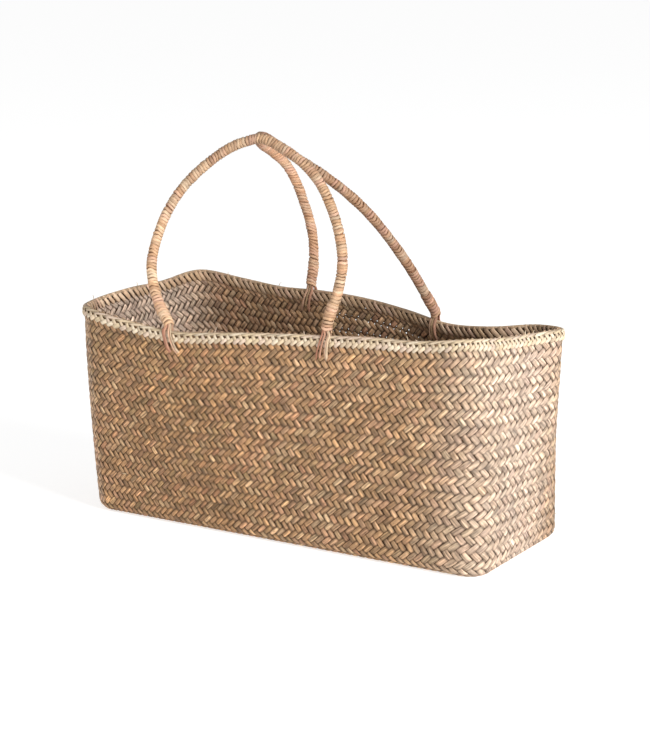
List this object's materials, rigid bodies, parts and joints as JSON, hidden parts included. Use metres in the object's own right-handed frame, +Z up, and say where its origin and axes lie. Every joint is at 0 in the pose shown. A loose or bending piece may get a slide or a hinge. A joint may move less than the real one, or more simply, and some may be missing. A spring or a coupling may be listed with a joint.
{
  "type": "seagrass storage basket with two rope handles",
  "caption": "Long open basket woven on the bias from flat seagrass strands, with a plaited rim and two wrapped rope handles that fold outwards on strand ties.",
  "frame": {"origin": "on the floor, under the middle of the object's bounding box", "axes": "+X along the long side, towards the end that is the nearer one when the front wall is seen from its right; -Y out of the front wall, the one with the lower handle foot; +Z up"},
  "size_m": [0.515, 0.2325, 0.424],
  "materials": {
    "seagrass_weave": "matte woven plant fibre",
    "pale_seagrass": "matte split plant fibre",
    "handle_wrap": "matte wrapped plant fibre",
    "strand_bundle": "matte plant fibre strands"
  },
  "bodies": {
    "basket": {"woven_body": "seagrass_weave", "rim_folded_edge": "pale_seagrass", "rim_outer_plait": "pale_seagrass", "rim_inner_stitching": "pale_seagrass", "front_handle_left_tie": "strand_bundle", "front_handle_right_tie": "strand_bundle", "back_handle_left_tie": "strand_bundle", "back_handle_right_tie": "strand_bundle"},
    "front_handle": {"front_handle_core": "strand_bundle", "front_handle_wrapping": "handle_wrap", "front_handle_left_whipping": "handle_wrap", "front_handle_right_whipping": "handle_wrap"},
    "back_handle": {"back_handle_core": "strand_bundle", "back_handle_wrapping": "handle_wrap", "back_handle_left_whipping": "handle_wrap", "back_handle_right_whipping": "handle_wrap"}
  },
  "joints": [
    {"name": "front_handle_fold", "type": "hinge", "parent": "basket", "child": "front_handle", "pos_m": [-0.1176, -0.1032, 0.232], "axis": [0.9852, 0.1646, 0.0483], "range_deg": [0, 110]},
    {"name": "back_handle_fold", "type": "hinge", "parent": "basket", "child": "back_handle", "pos_m": [-0.0646, 0.0953, 0.2494], "axis": [-0.994, 0.018, 0.1079], "range_deg": [0, 80]}
  ]
}
